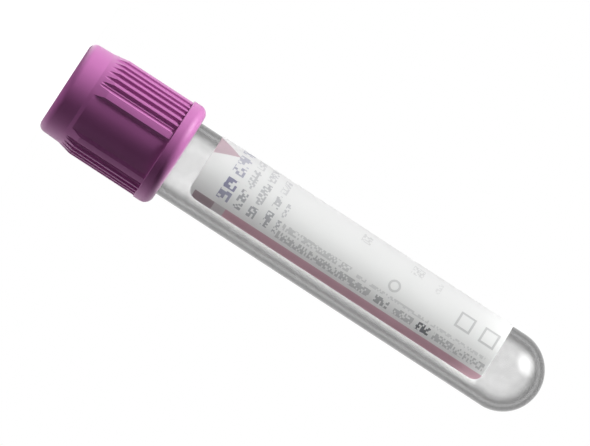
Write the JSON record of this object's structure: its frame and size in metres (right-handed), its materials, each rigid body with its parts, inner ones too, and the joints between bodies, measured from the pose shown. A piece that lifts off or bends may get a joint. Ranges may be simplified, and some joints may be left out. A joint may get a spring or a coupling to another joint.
{
  "type": "blood collection tube",
  "caption": "Clear round-bottomed sample tube with a wrap-round label, closed by a ribbed plastic shield over a rubber stopper that pulls off.",
  "frame": {"origin": "centre of the closure's flat top face, on the surface that the tube stands on upside down", "axes": "+Z along the tube towards its closed round end; -Y is the side that the label's edge and a smooth panel of the closure face"},
  "size_m": [0.0172, 0.0172, 0.0855],
  "materials": {
    "shield_plastic": "satin moulded polypropylene, lavender",
    "stopper_rubber": "matt grey butyl rubber",
    "tube_plastic": "clear gloss PET",
    "label_paper": "white coated paper with printed lines and bars"
  },
  "bodies": {
    "closure": {"closure_shield": "shield_plastic", "stopper": "stopper_rubber"},
    "sample_tube": {"tube": "tube_plastic", "label": "label_paper"}
  },
  "joints": [
    {"name": "tube_pull", "type": "slide", "parent": "closure", "child": "sample_tube", "axis": [0, 0, 1], "range_m": [0, 0.03]}
  ]
}
